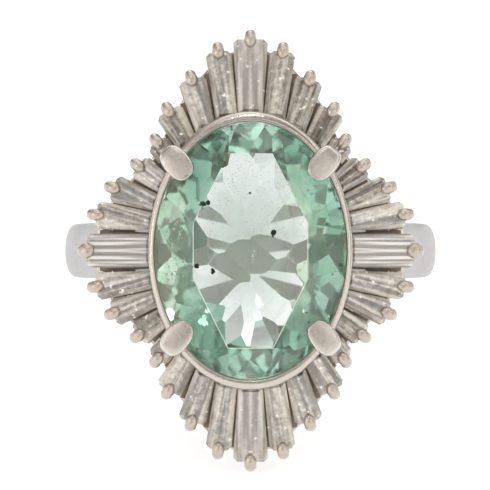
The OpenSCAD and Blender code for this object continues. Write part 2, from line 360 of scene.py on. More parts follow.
def platinum(name, colour, smoothest, roughest):
    """Platinum, cast and worked by hand: warm and pale, from a soft mirror to a satin face, with
    hairline wear and the small unevenness that the file leaves."""
    material, tree = new_material(name)
    where = ring_mm(tree)
    wear = add(tree, "ShaderNodeTexNoise", {"Vector": where, "Scale": 5.0, "Detail": 6.0})
    rough = spread(tree, wear.outputs["Fac"], 0.3, 0.7, smoothest, roughest)
    ripple = add(tree, "ShaderNodeTexNoise", {"Vector": where, "Scale": 2.2, "Detail": 4.0, "Roughness": 0.6})
    bump = add(tree, "ShaderNodeBump", {
        "Height": ripple.outputs["Fac"], "Strength": 0.4, "Distance": 0.00006})
    metal = add(tree, "ShaderNodeBsdfPrincipled", {
        "Base Color": linear(colour), "Metallic": 1.0, "Roughness": rough, "Normal": bump.outputs[0]})
    add(tree, "ShaderNodeOutputMaterial", {"Surface": metal.outputs[0]})
    return material


def band_platinum_painted_shade():
    """Platinum at the band: pale satin at the shoulders, and a duller, darker colour towards the base,
    painted shade for the far part of the band, which gets less light.
    """
    material, tree = new_material("band_platinum_painted_shade")
    where = ring_mm(tree)
    height = add(tree, "ShaderNodeSeparateXYZ", {"Vector": where}).outputs["Z"]
    # Painted shade: the colour darkens from the shoulders towards the base.
    painted_shade_share = spread(tree, height, FINGER_Z + FINGER_R * 0.4, FINGER_Z - FINGER_R)
    colour = mixed(tree, painted_shade_share, linear("#BDBCBB"), linear("#B5B0A6"))
    scratches = add(tree, "ShaderNodeTexNoise", {"Vector": where, "Scale": 4.0, "Detail": 6.0})
    rough = spread(tree, scratches.outputs["Fac"], 0.3, 0.7, 0.32, 0.45)
    metal = add(tree, "ShaderNodeBsdfPrincipled", {"Base Color": colour, "Metallic": 1.0, "Roughness": rough})
    add(tree, "ShaderNodeOutputMaterial", {"Surface": metal.outputs[0]})
    return material


def slot_shade():
    """Painted shade in the slots between the stones: a dull, dark brown."""
    material, tree = new_material("painted_shade_in_slots")
    where = ring_mm(tree)
    patch = add(tree, "ShaderNodeTexNoise", {"Vector": where, "Scale": 3.0, "Detail": 4.0})
    colour = mixed(tree, patch.outputs["Fac"], linear("#6A5C4E"), linear("#9C8F81"))
    dull = add(tree, "ShaderNodeBsdfPrincipled", {"Base Color": colour, "Metallic": 0.6, "Roughness": 0.5})
    add(tree, "ShaderNodeOutputMaterial", {"Surface": dull.outputs[0]})
    return material


# Where the beryl's colours lie: deep at the four corners of the crown, pale at its far end, yellowish
# at the left and greyer at the lower right
CORNER_FROM, CORNER_FULL = 5.5, 9.5
CORNER_MOST = 0.75
END_HALF_W = 1.4
END_Y = 5.0
END_BLUR = 0.1
END_MOST = 0.95
LEFT_FROM, LEFT_FULL = -3.0, -4.0
LEFT_MOST = 0.8
GREY_FROM, GREY_FULL = 3.4, 5.0
GREY_MOST = 0.65
# The rubbed back, the milk under the table, and the table's edge, with a painted highlight at the near end
BACK_FROM, BACK_FULL = -0.1, -0.2
BACK_ROUGH = 0.035
MILK_MOST = 0.46
EDGE_FROM, EDGE_FULL, EDGE_TOP = CROWN_H - 0.035, CROWN_H - 0.03, CROWN_H - 0.002
EDGE_MOST = 0.7
EDGE_LIT_TO, EDGE_LIT_END = 1.0, 2.4


def crown_colour(tree, where, parts):
    """Green patch by patch: soft clouds, and cells for the facets of the back that show through."""
    clouds = add(tree, "ShaderNodeTexNoise", {"Vector": where, "Scale": 0.42, "Detail": 1.0})
    cells = add(tree, "ShaderNodeTexVoronoi", {"Vector": where, "Scale": 1.0})
    cell_share = add(tree, "ShaderNodeSeparateColor", {"Color": cells.outputs["Color"]}).outputs[0]
    soft_share = spread(tree, clouds.outputs["Fac"], 0.38, 0.62)
    depth = add(tree, "ShaderNodeMix", {0: 0.6, 2: soft_share, 3: cell_share}, data_type="FLOAT")
    green = mixed(tree, depth.outputs[0], linear("#74AE95"), linear("#D8EEDE"))
    side_x = calculated(tree, "ABSOLUTE", parts["X"])
    side_y = calculated(tree, "ABSOLUTE", parts["Y"])
    corner = calculated(tree, "MULTIPLY", side_x, side_y)
    corner_share = spread(tree, corner, CORNER_FROM, CORNER_FULL, 0.0, CORNER_MOST)
    deep = mixed(tree, corner_share, green, linear("#5E9A84"))
    end_x = spread(tree, side_x, END_HALF_W + END_BLUR, END_HALF_W - END_BLUR)
    end_y = spread(tree, parts["Y"], END_Y - END_BLUR, END_Y + END_BLUR, 0.0, END_MOST)
    pale = mixed(tree, calculated(tree, "MULTIPLY", end_x, end_y), deep, linear("#EAF8EF"))
    low_right = calculated(tree, "SUBTRACT", parts["X"], calculated(tree, "MULTIPLY", parts["Y"], 0.5))
    grey_share = spread(tree, low_right, GREY_FROM, GREY_FULL, 0.0, GREY_MOST)
    greyed = mixed(tree, grey_share, pale, linear("#86A497"))
    left_share = spread(tree, parts["X"], LEFT_FROM, LEFT_FULL, 0.0, LEFT_MOST)
    return mixed(tree, left_share, greyed, linear("#D3DDBE"))


def table_colour(tree, where, parts):
    """Nearly clear, with dots of fine dust in the far half."""
    grains = add(tree, "ShaderNodeTexVoronoi", {"Vector": where, "Scale": 4.5})
    dots = spread(tree, grains.outputs["Distance"], 0.1, 0.16, 1.0, 0.0)
    far_half = spread(tree, parts["Y"], -0.6, 0.8, 0.0, 0.8)
    clear = mixed(tree, far_half, linear("#FFFFFF"), linear("#EEF2F0"))
    return mixed(tree, calculated(tree, "MULTIPLY", dots, far_half), clear, linear("#7A7F79"))


def milk_share(tree, parts):
    """Most in the middle of the back, and none outside an oval under the table."""
    along = calculated(tree, "POWER", calculated(tree, "MULTIPLY", parts["X"], 1 / MILKY_A), 2.0)
    upward = calculated(tree, "POWER", calculated(tree, "MULTIPLY", parts["Y"], 1 / MILKY_B), 2.0)
    from_middle = calculated(tree, "ADD", along, upward)
    on_back = spread(tree, parts["Z"], BACK_FROM, BACK_FULL)
    return calculated(tree, "MULTIPLY", spread(tree, from_middle, 0.0, 1.0, MILK_MOST, 0.0), on_back)


def painted_highlight_edge_share(tree, parts):
    """A thin line round the table, just under it, at its near end: where the highlight is painted."""
    at_edge = spread(tree, parts["Z"], EDGE_FROM, EDGE_FULL, 0.0, EDGE_MOST)
    under_table = calculated(tree, "LESS_THAN", parts["Z"], EDGE_TOP)
    lit_side = spread(tree, parts["Y"], EDGE_LIT_TO, EDGE_LIT_END, 1.0, 0.0)
    return calculated(tree, "MULTIPLY", calculated(tree, "MULTIPLY", at_edge, under_table), lit_side)


def green_beryl():
    """Beryl, cut and polished: its colour lies near the rim, patch by patch, and the table is nearly
    clear, with fine dust under its far half and a painted highlight on its edge at the near end. The
    back's facets are a little rubbed and milky, so what shows through them is soft."""
    material, tree = new_material("green_beryl")
    where = ring_mm(tree)
    parts = add(tree, "ShaderNodeSeparateXYZ", {"Vector": where}).outputs
    below_table = spread(tree, parts["Z"], CROWN_H, CROWN_H - 0.04)
    on_crown = calculated(tree, "GREATER_THAN", parts["Z"], 0.0)
    crown_share = calculated(tree, "MULTIPLY", below_table, on_crown)
    colour = mixed(tree, crown_share, table_colour(tree, where, parts), crown_colour(tree, where, parts))
    rough = spread(tree, parts["Z"], BACK_FROM, BACK_FULL, 0.0, BACK_ROUGH)
    mottle = add(tree, "ShaderNodeTexNoise", {"Vector": where, "Scale": 1.8, "Detail": 5.0, "Roughness": 0.7})
    bump = add(tree, "ShaderNodeBump", {
        "Height": mottle.outputs["Fac"], "Strength": crown_share, "Distance": 0.000005})
    glass = add(tree, "ShaderNodeBsdfPrincipled", {
        "Base Color": colour, "Roughness": rough, "IOR": 1.58,
        "Transmission Weight": 1.0, "Normal": bump.outputs[0]})
    milk = add(tree, "ShaderNodeBsdfDiffuse", {"Color": linear("#FAFCF6")})
    body = add(tree, "ShaderNodeMixShader", {
        0: milk_share(tree, parts), 1: glass.outputs[0], 2: milk.outputs[0]})
    # Painted highlight: a pale line along the table's edge at the near end.
    bright = add(tree, "ShaderNodeBsdfDiffuse", {"Color": linear("#E9F2EA")})
    whole = add(tree, "ShaderNodeMixShader", {
        0: painted_highlight_edge_share(tree, parts), 1: body.outputs[0], 2: bright.outputs[0]})
    tint = add(tree, "ShaderNodeVolumeAbsorption", {"Color": linear("#86D2B4"), "Density": 30.0})
    add(tree, "ShaderNodeOutputMaterial", {"Surface": whole.outputs[0], "Volume": tint.outputs[0]})
    return material


# How a diamond looks: the colour of its glass, the dark and light stripes of its milk (growth lines and
# painted reflections of its steps) and its paler bevels (a painted reflection), the most milk, the share
# of grain in its stripes, their width in mm and how soft they are, and whether they run level or
# upright or fan out
Clarity = namedtuple("Clarity", "body dark light bevel milk grain stripe blur straight")
CLEAR = Clarity("#F8F4EE", "#94897E", "#F8F3E9", "#EFE9DF", 0.85, 0.02, 0.18, 0.11, True)
PALE = Clarity("#F1EEE9", "#8B7E70", "#EDE4D4", "#EAE3D6", 0.85, 0.35, 0.26, 0.16, True)
CLOUDY = Clarity("#D8CDB8", "#584C3A", "#EAE0CF", "#E4DCCD", 0.9, 0.52, 0.25, 0.12, False)
LEAST_MILK = 0.5
STRIPE_R = 8.0
STRIPE_ALONG = 0.2
DIAMOND_IOR = 2.417
GLINTS = 1.7


def stripe_place(tree, parts, straight):
    """How far a point lies across the stripes. Those that fan out keep their width at STRIPE_R."""
    if straight:
        side_x = calculated(tree, "ABSOLUTE", parts["X"])
        side_y = calculated(tree, "ABSOLUTE", parts["Y"])
        return calculated(tree, "MINIMUM", side_x, side_y)
    turn = calculated(tree, "ARCTAN2", parts["Y"], parts["X"])
    return calculated(tree, "MULTIPLY", turn, STRIPE_R)


def diamond(name, clarity):
    """Diamond, step cut: hard and bright, striped along its length by growth lines and by painted
    reflections of its steps, with paler bevels round its table, a painted reflection. The cloudy ones
    are milky, with a grain of small inclusions and white spots painted on as glints. The stripes of
    the straight ones at the head's four ends run level or upright, and those of the others fan out."""
    material, tree = new_material(name)
    where = ring_mm(tree)
    parts = add(tree, "ShaderNodeSeparateXYZ", {"Vector": where}).outputs
    away = add(tree, "ShaderNodeVectorMath", {0: where}, operation="LENGTH")
    place = stripe_place(tree, parts, clarity.straight)
    lines = add(tree, "ShaderNodeCombineXYZ", {
        "X": calculated(tree, "MULTIPLY", place, 1 / clarity.stripe),
        "Y": calculated(tree, "MULTIPLY", away.outputs["Value"], STRIPE_ALONG)})
    stripe = add(tree, "ShaderNodeTexNoise", {"Vector": lines.outputs[0], "Scale": 1.0, "Detail": 1.0})
    grain = add(tree, "ShaderNodeTexNoise", {"Vector": where, "Scale": 3.4, "Detail": 4.0, "Roughness": 0.65})
    height = add(tree, "ShaderNodeMix", {
        0: clarity.grain, 2: stripe.outputs["Fac"], 3: grain.outputs["Fac"]}, data_type="FLOAT")
    bump = add(tree, "ShaderNodeBump", {"Height": height.outputs[0], "Strength": 0.5, "Distance": 0.00006})
    glass = add(tree, "ShaderNodeBsdfPrincipled", {
        "Base Color": linear(clarity.body), "Roughness": 0.02, "IOR": DIAMOND_IOR,
        "Transmission Weight": 1.0, "Normal": bump.outputs[0]})
    # Dark and light stripes: growth lines, and painted reflections of the steps.
    shade = add(tree, "ShaderNodeValToRGB", {"Fac": height.outputs[0]})
    stops = shade.color_ramp.elements
    stops[0].position = 0.5 - clarity.blur
    stops[0].color = linear(clarity.dark)
    stops[1].position = 0.5 + clarity.blur
    stops[1].color = linear(clarity.light)
    # Painted reflection: faces tilted from the table, its bevels, are paler.
    facing = add(tree, "ShaderNodeNewGeometry").outputs["True Normal"]
    upward = add(tree, "ShaderNodeVectorMath", {0: facing, 1: table_normal}, operation="DOT_PRODUCT")
    bevels = spread(tree, upward.outputs["Value"], 0.93, 0.85, 0.0, 0.45)
    tone = mixed(tree, bevels, shade.outputs[0], linear(clarity.bevel))
    milk = add(tree, "ShaderNodeBsdfPrincipled", {"Base Color": tone, "Roughness": 0.08, "IOR": DIAMOND_IOR})
    share = spread(tree, stripe.outputs["Fac"], 0.4, 0.6, LEAST_MILK, clarity.milk)
    both = add(tree, "ShaderNodeMixShader", {0: share, 1: glass.outputs[0], 2: milk.outputs[0]})
    # Painted highlights: white spots as glints, as strong as the stone's share of grain.
    spots = add(tree, "ShaderNodeTexNoise", {"Vector": where, "Scale": 3.4, "Detail": 1.0})
    glint = spread(tree, spots.outputs["Fac"], 0.70, 0.73, 0.0, GLINTS * clarity.grain)
    bright = add(tree, "ShaderNodeBsdfPrincipled", {"Base Color": linear("#FFFBF2"), "Roughness": 0.3})
    whole = add(tree, "ShaderNodeMixShader", {0: glint, 1: both.outputs[0], 2: bright.outputs[0]})
    add(tree, "ShaderNodeOutputMaterial", {"Surface": whole.outputs[0]})
    return material


def speck_black():
    """Carbon and mica specks inside the stone: matt, nearly black."""
    material, tree = new_material("black_specks")
    matt = add(tree, "ShaderNodeBsdfPrincipled", {"Base Color": linear("#14110E"), "Roughness": 0.7})
    add(tree, "ShaderNodeOutputMaterial", {"Surface": matt.outputs[0]})
    return material


def flake_yellow():
    """A feather inside the stone, which throws the light back pale yellow, helped by a faint painted glow."""
    material, tree = new_material("pale_yellow_flake_painted_glow")
    # The emission is a painted glow, standing in for the flakes' sparkle.
    sheen = add(tree, "ShaderNodeBsdfPrincipled", {
        "Base Color": linear("#E7EDD6"), "Roughness": 0.25,
        "Emission Color": linear("#E7EDD6"), "Emission Strength": 0.25})
    add(tree, "ShaderNodeOutputMaterial", {"Surface": sheen.outputs[0]})
    return material


def floor_paper():
    """Matt white paper with a little light of its own, as on a light table."""
    material, tree = new_material("white_paper")
    paper = add(tree, "ShaderNodeBsdfPrincipled", {
        "Base Color": linear("#B8B8B8"), "Roughness": 0.9,
        "Emission Color": linear("#FFFFFF"), "Emission Strength": 0.72})
    add(tree, "ShaderNodeOutputMaterial", {"Surface": paper.outputs[0]})
    return material


# The colour of each finish, and the least and most of its roughness
PLATINUM = platinum("polished_platinum", "#D0C7BE", 0.08, 0.26)
PLATINUM_CAST = platinum("cast_platinum", "#C9BEB1", 0.25, 0.46)
PLATINUM_SATIN = platinum("satin_platinum", "#CCC3BA", 0.24, 0.4)
# The pads' burnished sides are paler than the other finishes: a painted highlight for their bright outline.
PLATINUM_EDGE_HIGHLIGHT = platinum("burnished_platinum_painted_highlight", "#DCD7D1", 0.16, 0.28)
PLATINUM_BAND = band_platinum_painted_shade()
SLOT_SHADE = slot_shade()
BERYL = green_beryl()
DIAMOND_CLEAR = diamond("diamond_clear", CLEAR)
DIAMOND_PALE = diamond("diamond_pale", PALE)
DIAMOND_CLOUDY = diamond("diamond_cloudy", CLOUDY)
SPECK = speck_black()
FLAKE = flake_yellow()


# Trees of Geometry Nodes

def new_tree(name, sockets):
    """A tree with a geometry input, the named inputs given, and a geometry output."""
    tree = bpy.data.node_groups.new(name, "GeometryNodeTree")
    tree.interface.new_socket(name="Geometry", in_out="INPUT", socket_type="NodeSocketGeometry")
    for label, kind in sockets:
        tree.interface.new_socket(name=label, in_out="INPUT", socket_type=kind)
    tree.interface.new_socket(name="Geometry", in_out="OUTPUT", socket_type="NodeSocketGeometry")
    return tree, add(tree, "NodeGroupInput").outputs


def run_tree(base, tree, values):
    """Run a tree on an object with its inputs set, and give the plain mesh."""
    modifier = base.modifiers.new(tree.name, "NODES")
    modifier.node_group = tree
    for item in tree.interface.items_tree:
        if item.in_out == "INPUT" and item.name in values:
            modifier[item.identifier] = values[item.name]
    return evaluated(base)


def wire_tree():
    """Round wires with domed ends along lines of edges, bent in an arc at each corner."""
    tree, given = new_tree("wires", [
        ("Bend radius", "NodeSocketFloat"), ("Sides", "NodeSocketInt"), ("Material", "NodeSocketMaterial")])
    radius = add(tree, "GeometryNodeInputNamedAttribute", {"Name": "wire_radius"}, data_type="FLOAT")
    line = add(tree, "GeometryNodeMeshToCurve", {"Mesh": given["Geometry"]})
    bent = add(tree, "GeometryNodeFilletCurve", {
        "Curve": line.outputs[0], "Count": 6, "Radius": given["Bend radius"]}, mode="POLY")
    ring = add(tree, "GeometryNodeCurvePrimitiveCircle", {"Resolution": given["Sides"], "Radius": 1.0})
    tube = add(tree, "GeometryNodeCurveToMesh", {
        "Curve": bent.outputs[0], "Profile Curve": ring.outputs[0], "Scale": radius.outputs[0],
        "Fill Caps": True})
    ends = add(tree, "GeometryNodeCurveEndpointSelection", {"Start Size": 1, "End Size": 1})
    ball = add(tree, "GeometryNodeMeshUVSphere", {"Segments": given["Sides"], "Rings": 10, "Radius": 1.0})
    dome = add(tree, "GeometryNodeInstanceOnPoints", {
        "Points": bent.outputs[0], "Selection": ends.outputs[0], "Instance": ball.outputs[0],
        "Scale": radius.outputs[0]})
    both = add(tree, "GeometryNodeJoinGeometry")
    tree.links.new(tube.outputs[0], both.inputs[0])
    tree.links.new(dome.outputs[0], both.inputs[0])
    real = add(tree, "GeometryNodeRealizeInstances", {"Geometry": both.outputs[0]})
    coat = add(tree, "GeometryNodeSetMaterial", {"Geometry": real.outputs[0], "Material": given["Material"]})
    add(tree, "NodeGroupOutput", {"Geometry": coat.outputs[0]})
    return tree


def scatter_tree():
    """Small lumps strewn at random in a box, each turned and sized at random."""
    tree, given = new_tree("scatter", [
        ("Count", "NodeSocketInt"), ("Low corner", "NodeSocketVector"), ("High corner", "NodeSocketVector"),
        ("Smallest", "NodeSocketFloat"), ("Largest", "NodeSocketFloat"), ("Seed", "NodeSocketInt"),
        ("Material", "NodeSocketMaterial")])
    place = add(tree, "FunctionNodeRandomValue", {
        "Min": given["Low corner"], "Max": given["High corner"],
        "Seed": given["Seed"]}, data_type="FLOAT_VECTOR")
    points = add(tree, "GeometryNodePoints", {"Count": given["Count"], "Position": place.outputs[0]})
    size = add(tree, "FunctionNodeRandomValue", data_type="FLOAT")
    tree.links.new(given["Smallest"], size.inputs[2])
    tree.links.new(given["Largest"], size.inputs[3])
    tree.links.new(given["Seed"], size.inputs[8])
    turn = add(tree, "FunctionNodeRandomValue", {"Max": (6.28, 6.28, 6.28)}, data_type="FLOAT_VECTOR")
    lump = add(tree, "GeometryNodeMeshIcoSphere", {"Radius": 1.0, "Subdivisions": 1})
    strewn = add(tree, "GeometryNodeInstanceOnPoints", {
        "Points": points.outputs[0], "Instance": lump.outputs[0],
        "Rotation": turn.outputs[0], "Scale": size.outputs[1]})
    real = add(tree, "GeometryNodeRealizeInstances", {"Geometry": strewn.outputs[0]})
    coat = add(tree, "GeometryNodeSetMaterial", {"Geometry": real.outputs[0], "Material": given["Material"]})
    add(tree, "NodeGroupOutput", {"Geometry": coat.outputs[0]})
    return tree


WIRES = wire_tree()
SCATTER = scatter_tree()


WIRE_SIDES = 20


def wires(name, lines, bend):
    """One piece of round platinum wires. Each line is a radius and its points."""
    points, edges, radii = [], [], []
    for radius, line in lines:
        edges += [(len(points) + k, len(points) + k + 1) for k in range(len(line) - 1)]
        points += line
        radii += [radius] * len(line)
    base = base_object(points, edges)
    values = base.data.attributes.new("wire_radius", "FLOAT", "POINT")
    values.data.foreach_set("value", radii)
    mesh = run_tree(base, WIRES, {"Bend radius": bend, "Sides": WIRE_SIDES, "Material": PLATINUM})
    return finished(mesh, name, PLATINUM, sharp=60)


# Metal pieces

OVAL_STEPS = 144
# Across the rim from its inner edge (0) to its outer edge (1), and the height there
RIM_PROFILE = [
    (0.0, -0.25), (0.0, 0.20), (0.03, 0.27), (0.09, 0.325), (0.16, 0.34), (0.3, 0.338), (0.5, 0.315),
    (0.7, 0.27), (0.84, 0.21), (0.93, 0.12), (0.98, 0.0), (1.0, -0.14), (1.0, RIM_LOW), (0.5, RIM_LOW - 0.02),
]


def oval_ring(turn, inner, outer, profile):
    near = oval(inner[0], inner[1], turn)
    far = oval(outer[0], outer[1], turn)
    return [raised(near.lerp(far, share), z) for share, z in profile]


def rim():
    inner = (STONE_A + SEAT_GAP, STONE_B + SEAT_GAP)
    rings = [oval_ring(360 * k / OVAL_STEPS, inner, (RIM_A, RIM_B), RIM_PROFILE) for k in range(OVAL_STEPS)]
    return finished(evaluated(softened(loft(rings, closed=True))), "rim", PLATINUM, sharp=50)


def oval_wall():
    outer = (RIM_A - WALL_OUT, RIM_B - WALL_OUT)
    inner = (outer[0] - WALL_T, outer[1] - WALL_T)
    profile = [(0, FRAME_BOTTOM), (0, RIM_LOW - 0.02), (1, RIM_LOW - 0.02), (1, FRAME_BOTTOM)]
    rings = [oval_ring(360 * k / OVAL_STEPS, inner, outer, profile) for k in range(OVAL_STEPS)]
    return finished(evaluated(softened(loft(rings, closed=True), bevel=0.04)), "oval_wall", PLATINUM)


def bead_knee(seat):
    at = out_of(seat, KNEE_OUT)
    return raised(at, table_z(seat, at) - KNEE_DOWN)


def bead_prongs():
    """Upright wires at the outer ends of the stones."""
    lines = []
    for seat in SEATS:
        foot = raised(out_of(seat, -FOOT_IN), FRAME_BOTTOM + BEAD_R)
        knee = bead_knee(seat)
        lines.append((BEAD_R, [foot, knee, knee + Vector((0, 0, KNEE_DOWN - WIRE_TOP_DOWN))]))
    return wires("bead_prongs", lines, KNEE_BEND)


def bead_heads():
    """The wires' heads, pressed over the stones by hand: long lumpy grains."""
    chance = random.Random(3)
    work = bmesh.new()
    for seat in SEATS:
        half_width = SIDE_BEAD_R if seat.side_bead else BEAD_R
        inner, outer = out_of(seat, -TIP_IN), out_of(seat, KNEE_OUT)
        middle = (inner + outer) / 2
        half_length = (outer - inner).length / 2 + BEAD_R * BEAD_END_SHARE
        at = raised(middle, table_z(seat, middle) + BEAD_MIDDLE_UP)
        side = Vector((-seat.way.y, seat.way.x, 0))
        way = raised(seat.way, -math.tan(SKIRT_SLOPE)).normalized()
        up = way.cross(side) * -1
        made = bmesh.ops.create_icosphere(work, subdivisions=4, radius=1.0)
        lumps = [Vector((chance.uniform(-1, 1), chance.uniform(-1, 1), chance.uniform(0, 1))).normalized()
                 for _ in range(BEAD_LUMPS)]
        for vert in made["verts"]:
            p = vert.co.copy()
            swell = BEAD_BASE_SIZE + sum(LUMP_RISE * max(0.0, p.dot(lump) - LUMP_REACH) for lump in lumps)
            square = 1 + BEAD_SQUARE * (1 - abs(p.x)) * abs(p.y)
            vert.co = at + swell * (p.x * half_length * way + p.y * half_width * square * side
                                    + p.z * BEAD_HALF_HEIGHT * up)
    mesh = bpy.data.meshes.new("bead_heads")
    work.to_mesh(mesh)
    work.free()
    return finished(mesh, "bead_heads", PLATINUM_CAST, sharp=80)


def fins():
    """Thin upright walls from the oval wall out to the frame, one under each slot of the skirt."""
    parts = []
    for i in range(BAGUETTES):
        here, there = SEATS[i], SEATS[(i + 1) % BAGUETTES]
        start = (here.start + there.start) / 2
        start -= (here.way + there.way).normalized() * WALL_OUT
        end = (out_of(here, -FOOT_IN) + out_of(there, -FOOT_IN)) / 2
        way = (end - start).normalized()
        side = Vector((-way.y, way.x)) * FIN_T / 2
        top_start = (here.start_z + there.start_z) / 2 - FIN_DOWN
        top_end = top_start - (end - start).length * math.tan(SKIRT_SLOPE)
        low = [raised(start - side, FRAME_BOTTOM), raised(end - side, FRAME_BOTTOM),
               raised(end + side, FRAME_BOTTOM), raised(start + side, FRAME_BOTTOM)]
        high = [raised(start - side, top_start), raised(end - side, top_end),
                raised(end + side, top_end), raised(start + side, top_start)]
        parts.append(loft([low, high]))
    # Dark brown fins: painted shade for the depth of the slots.
    return finished(evaluated(softened(joined(parts), bevel=0.03)), "fins", SLOT_SHADE)


def skirt_frame():
    rings = []
    for seat in SEATS:
        outer = out_of(seat, FRAME_OUT - FOOT_IN)
        inner = out_of(seat, FRAME_OUT - FOOT_IN - FRAME_W)
        rings.append([raised(inner, FRAME_BOTTOM), raised(inner, FRAME_TOP),
                      raised(outer, FRAME_TOP), raised(outer, FRAME_BOTTOM)])
    return finished(evaluated(softened(loft(rings, closed=True), bevel=0.08)), "skirt_frame", PLATINUM)


# Sections of a claw's pad, from its outer end to its tip over the stone
ClawSection = namedtuple("ClawSection", "along half_width top bottom")
CLAW_PAD = [
    ClawSection(0.98, 0.22, 0.40, 0.24),
    ClawSection(0.90, 0.42, 0.58, 0.08),
    ClawSection(0.75, 0.57, 0.68, -0.04),
    ClawSection(0.50, 0.68, 0.76, -0.10),
    ClawSection(0.20, 0.73, 0.82, -0.08),
    ClawSection(-0.12, 0.73, 0.87, 0.02),
    ClawSection(-0.42, 0.69, 0.91, 0.14),
    ClawSection(-0.68, 0.60, 0.95, 0.28),
    ClawSection(-0.87, 0.43, 0.97, 0.46),
    ClawSection(-0.98, 0.24, 0.93, 0.64),
]
PAD_SIDES = 20
PAD_SQUARE = 3.8
PAD_TOP_NORMAL = 0.84


def claw_pad(azimuth):
    out = Vector((math.cos(azimuth), math.sin(azimuth)))
    side = Vector((-out.y, out.x))
    middle = math.hypot(CLAW_X, CLAW_Y)
    rings = []
    for section in CLAW_PAD:
        ring = []
        for k in range(PAD_SIDES):
            turn = 2 * math.pi * k / PAD_SIDES
            flat_x = math.copysign(abs(math.cos(turn)) ** (2 / PAD_SQUARE), math.cos(turn))
            flat_z = math.copysign(abs(math.sin(turn)) ** (2 / PAD_SQUARE), math.sin(turn))
            plan = out * (middle + section.along) + side * section.half_width * flat_x
            mid, half = (section.top + section.bottom) / 2, (section.top - section.bottom) / 2
            ring.append(raised(plan, mid + half * flat_z))
        rings.append(ring)
    return loft(rings)


def claws():
    angle = math.atan2(CLAW_Y, CLAW_X)
    azimuths = [angle, math.pi - angle, math.pi + angle, -angle]
    mesh = evaluated(softened(joined([claw_pad(a) for a in azimuths]), levels=2))
    mesh.materials.append(PLATINUM_SATIN)
    mesh.materials.append(PLATINUM_EDGE_HIGHLIGHT)
    # Tops satin; the sides burnished and paler, a painted highlight round each pad.
    for face in mesh.polygons:
        face.material_index = 0 if face.normal.z > PAD_TOP_NORMAL else 1
    pads = finished(mesh, "claw_pads", sharp=80)
    out = math.hypot(CLAW_X, CLAW_Y) - CLAW_POST_IN
    lines = []
    for azimuth in azimuths:
        way = Vector((math.cos(azimuth), math.sin(azimuth)))
        at, top = way * out, way * (out + CLAW_TOP_OUT)
        line = [raised(at, CLAW_POST_LOW), raised(at, RIM_LOW), raised(top, CLAW_TOP_Z)]
        lines.append((CLAW_POST_R, line))
    return pads, wires("claw_posts", lines, CLAW_BEND)


def finger_top(x, r):
    return FINGER_Z + math.sqrt(r * r - x * x)


def saddle():
    rings = []
    for k in range(OVAL_STEPS):
        turn = 360 * k / OVAL_STEPS
        inner = oval(SADDLE_A - SADDLE_W / 2, SADDLE_B - SADDLE_W / 2, turn)
        outer = oval(SADDLE_A + SADDLE_W / 2, SADDLE_B + SADDLE_W / 2, turn)
        rings.append([
            raised(inner, finger_top(inner.x, FINGER_R)),
            raised(inner, finger_top(inner.x, FINGER_R + SADDLE_T)),
            raised(outer, finger_top(outer.x, FINGER_R + SADDLE_T)),
            raised(outer, finger_top(outer.x, FINGER_R)),
        ])
    return finished(evaluated(softened(loft(rings, closed=True), bevel=0.1)), "saddle", PLATINUM)


def struts():
    """Two bars from the saddle up and out to the skirt's frame, at the head's two ends."""
    parts = []
    for end in (1, -1):
        way = Vector((0, end * math.cos(STRUT_LEAN), math.sin(STRUT_LEAN)))
        up = Vector((0, -end * math.sin(STRUT_LEAN), math.cos(STRUT_LEAN)))
        side = Vector((STRUT_W / 2, 0, 0))
        foot = Vector((0, end * SADDLE_B, FRAME_BOTTOM - STRUT_LOW))
        low = [foot - side - up * STRUT_W / 2, foot + side - up * STRUT_W / 2,
               foot + side + up * STRUT_W / 2, foot - side + up * STRUT_W / 2]
        high = [p + way * STRUT_LEN for p in low]
        parts.append(loft([low, high]))
    return finished(evaluated(softened(joined(parts), bevel=0.08)), "struts", PLATINUM)


# Across the band: the share of its half width, and the share of its thickness from the finger out
BAND_PROFILE = [
    (-0.94, 0.0), (-1.0, 0.08), (-1.0, 0.58), (-0.965, 0.69), (-0.88, 0.79), (-0.72, 0.885),
    (-0.5, 0.955), (-0.25, 0.99), (0.0, 1.0), (0.25, 0.99), (0.5, 0.955), (0.72, 0.885),
    (0.88, 0.79), (0.965, 0.69), (1.0, 0.58), (1.0, 0.08), (0.94, 0.0),
]


def round_point(r, degrees):
    """A point about the finger's axis in the XZ plane, at an angle from the top."""
    turn = math.radians(degrees)
    return Vector((r * math.sin(turn), FINGER_Z + r * math.cos(turn)))


def band_section(inner, outer, width):
    ring = []
    for side, deep in BAND_PROFILE:
        at = inner.lerp(outer, deep)
        ring.append(Vector((at.x, side * width / 2, at.y)))
    return ring


